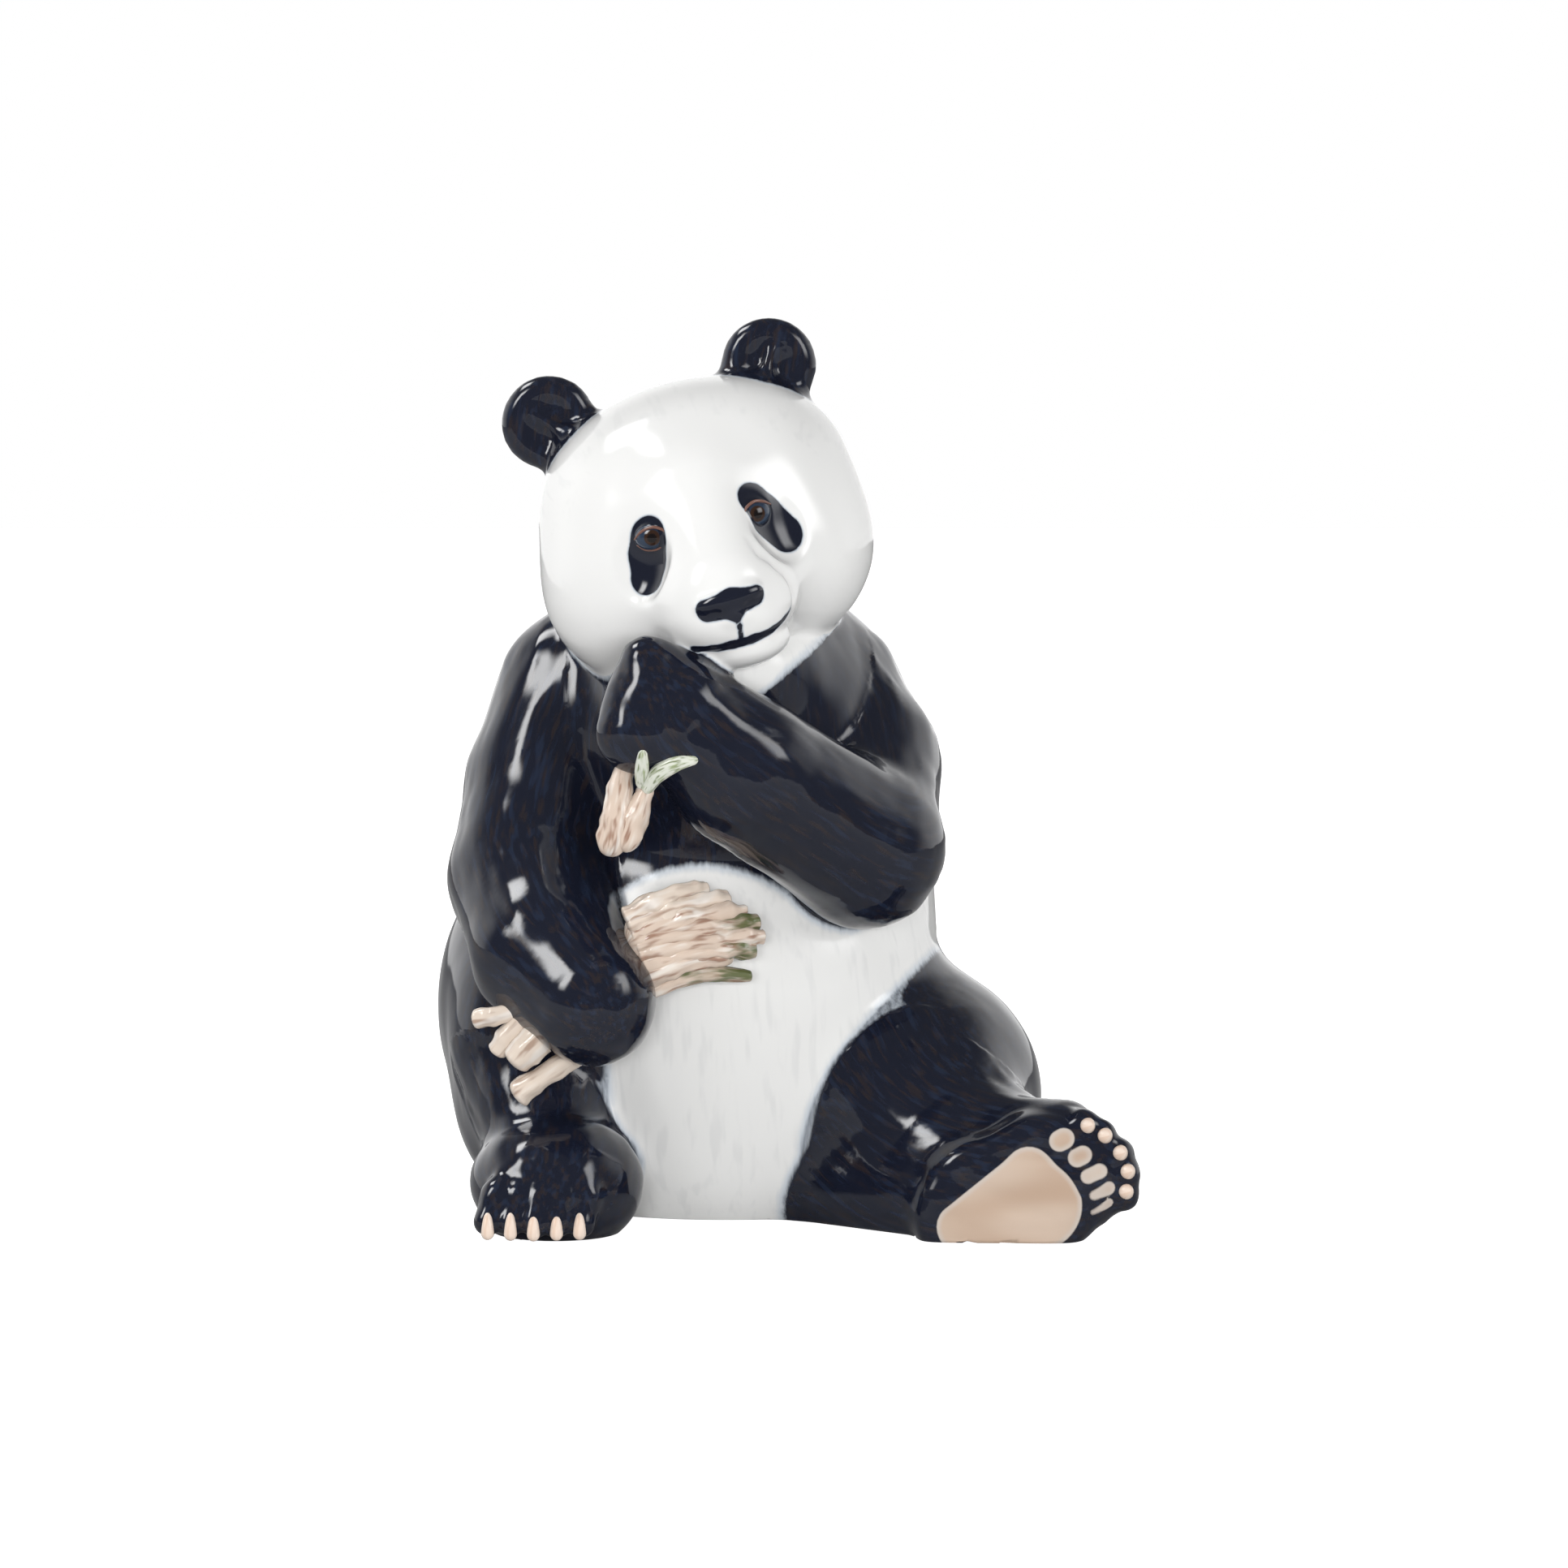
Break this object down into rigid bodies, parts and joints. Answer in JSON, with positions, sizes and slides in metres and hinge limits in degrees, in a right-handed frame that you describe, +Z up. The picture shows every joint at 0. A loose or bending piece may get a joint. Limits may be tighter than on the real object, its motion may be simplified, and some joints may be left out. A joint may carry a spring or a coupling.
{
  "type": "seated panda figurine",
  "caption": "Glazed porcelain figurine of a sitting panda that holds bamboo, one paw raised to its mouth, standing on a flat underside.",
  "frame": {"origin": "centre of the figure's footprint on its flat underside", "axes": "+Z up through the ears, -Y towards the viewer whom the figure faces, +X to that viewer's right"},
  "size_m": [0.14, 0.1235, 0.1794],
  "materials": {
    "glazed_porcelain": "high-gloss clear glaze over white porcelain, with navy-black, grey, brown and cream underglaze painting"
  },
  "bodies": {
    "root": {"panda_figurine": "glazed_porcelain"}
  },
  "joints": []
}
